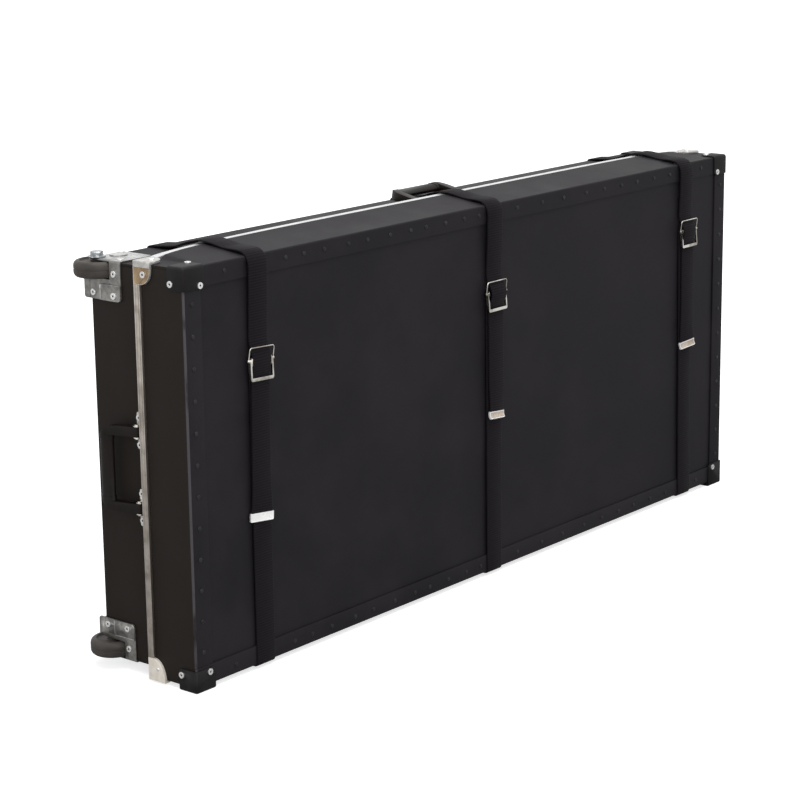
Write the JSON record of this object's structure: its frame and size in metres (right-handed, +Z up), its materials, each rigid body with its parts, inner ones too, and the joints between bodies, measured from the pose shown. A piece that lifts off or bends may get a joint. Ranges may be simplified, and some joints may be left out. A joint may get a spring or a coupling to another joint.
{
  "type": "display hard case",
  "caption": "Upright fibre-board display case with a slip-over lid, wrap-round lever-buckle straps, folding handles and corner castors.",
  "frame": {"origin": "centre of the bounding box's bottom face, on the floor that the case stands on", "axes": "+Z up, +X along the case to the right seen from the lid's side, the lid faces -Y"},
  "size_m": [1.5086, 0.2452, 0.668],
  "materials": {
    "fibre_board": "black vulcanised fibre, dull with a fine grain",
    "corner_moulding": "black moulded corner, satin",
    "handle_moulding": "black moulded grip, soft sheen",
    "aluminium_rail": "mill aluminium, lightly brushed along its length",
    "nickel_plate": "nickel-plated steel, bright",
    "zinc_steel": "zinc-plated pressed steel, dull",
    "webbing": "black woven webbing",
    "wheel_rubber": "black hard rubber tread",
    "foot_rubber": "black rubber"
  },
  "bodies": {
    "base": {"base_top_wall": "fibre_board", "base_bottom_wall": "fibre_board", "base_left_wall": "fibre_board", "base_right_wall": "fibre_board", "base_panel": "fibre_board", "base_top_right_protector": "corner_moulding", "base_bottom_right_protector": "corner_moulding", "base_left_foot": "foot_rubber", "base_right_foot": "foot_rubber", "top_castor_bracket": "zinc_steel", "top_castor_bolt": "zinc_steel", "bottom_castor_bracket": "zinc_steel", "bottom_castor_bolt": "zinc_steel", "left_handle_clip": "nickel_plate", "top_handle_clip": "nickel_plate", "right_handle_clip": "nickel_plate", "left_strap_rear": "webbing", "middle_strap_rear": "webbing", "right_strap_rear": "webbing"},
    "lid": {"lid_top_wall": "fibre_board", "lid_bottom_wall": "fibre_board", "lid_left_wall": "fibre_board", "lid_right_wall": "fibre_board", "lid_panel": "fibre_board", "lid_top_rail": "aluminium_rail", "lid_bottom_rail": "aluminium_rail", "lid_left_rail": "aluminium_rail", "lid_right_rail": "aluminium_rail", "lid_top_left_rim_corner": "nickel_plate", "lid_bottom_left_rim_corner": "nickel_plate", "lid_top_right_rim_corner": "nickel_plate", "lid_bottom_right_rim_corner": "nickel_plate", "lid_top_left_protector": "corner_moulding", "lid_bottom_left_protector": "corner_moulding", "lid_top_right_protector": "corner_moulding", "lid_bottom_right_protector": "corner_moulding", "left_strap_upper": "webbing", "left_strap_lower": "webbing", "left_strap_tail": "webbing", "middle_strap_upper": "webbing", "middle_strap_lower": "webbing", "middle_strap_tail": "webbing", "right_strap_upper": "webbing", "right_strap_lower": "webbing", "right_strap_tail": "webbing", "left_buckle_frame": "nickel_plate", "middle_buckle_frame": "nickel_plate", "right_buckle_frame": "nickel_plate"},
    "left_tip": {"left_strap_tip": "nickel_plate"},
    "middle_tip": {"middle_strap_tip": "nickel_plate"},
    "right_tip": {"right_strap_tip": "nickel_plate"},
    "left_lever": {"left_buckle_lever": "nickel_plate"},
    "middle_lever": {"middle_buckle_lever": "nickel_plate"},
    "right_lever": {"right_buckle_lever": "nickel_plate"},
    "top_wheel": {"top_castor_wheel": "wheel_rubber"},
    "bottom_wheel": {"bottom_castor_wheel": "wheel_rubber"},
    "left_grip": {"left_handle": "handle_moulding"},
    "top_grip": {"top_handle": "handle_moulding"},
    "right_grip": {"right_handle": "handle_moulding"}
  },
  "joints": [
    {"name": "lid_slide", "type": "slide", "parent": "base", "child": "lid", "axis": [0, -1, 0], "range_m": [0, 0.07]},
    {"name": "left_tip_feed", "type": "slide", "parent": "lid", "child": "left_tip", "axis": [0, 0, 1], "range_m": [0, 0.14], "deforming": ["left_strap_tail"]},
    {"name": "middle_tip_feed", "type": "slide", "parent": "lid", "child": "middle_tip", "axis": [0, 0, 1], "range_m": [0, 0.14], "deforming": ["middle_strap_tail"]},
    {"name": "right_tip_feed", "type": "slide", "parent": "lid", "child": "right_tip", "axis": [0, 0, 1], "range_m": [0, 0.14], "deforming": ["right_strap_tail"]},
    {"name": "left_lever_hinge", "type": "hinge", "parent": "lid", "child": "left_lever", "pos_m": [-0.58476, -0.11755, 0.489], "axis": [-1, 0, 0], "range_deg": [0, 100]},
    {"name": "middle_lever_hinge", "type": "hinge", "parent": "lid", "child": "middle_lever", "pos_m": [0.00074, -0.11755, 0.499], "axis": [-1, 0, 0], "range_deg": [0, 100]},
    {"name": "right_lever_hinge", "type": "hinge", "parent": "lid", "child": "right_lever", "pos_m": [0.59924, -0.11755, 0.523], "axis": [-1, 0, 0], "range_deg": [0, 100]},
    {"name": "top_wheel_spin", "type": "hinge", "parent": "base", "child": "top_wheel", "pos_m": [-0.71826, 0.08655, 0.63], "axis": [0, 0, 1], "continuous": true},
    {"name": "bottom_wheel_spin", "type": "hinge", "parent": "base", "child": "bottom_wheel", "pos_m": [-0.71826, 0.08655, 0.03], "axis": [0, 0, 1], "continuous": true},
    {"name": "left_handle_hinge", "type": "hinge", "parent": "base", "child": "left_grip", "pos_m": [-0.73306, 0.00005, 0.33], "axis": [0, 0, 1], "range_deg": [-10, 78]},
    {"name": "top_handle_hinge", "type": "hinge", "parent": "base", "child": "top_grip", "pos_m": [0.00074, 0.00005, 0.6483], "axis": [1, 0, 0], "range_deg": [0, 78]},
    {"name": "right_handle_hinge", "type": "hinge", "parent": "base", "child": "right_grip", "pos_m": [0.73454, 0.00005, 0.33], "axis": [0, 0, -1], "range_deg": [-10, 78]}
  ],
  "couplings": [
    {"joint": "left_tip_feed", "follows": "lid_slide", "ratio": 2},
    {"joint": "middle_tip_feed", "follows": "lid_slide", "ratio": 2},
    {"joint": "right_tip_feed", "follows": "lid_slide", "ratio": 2}
  ]
}
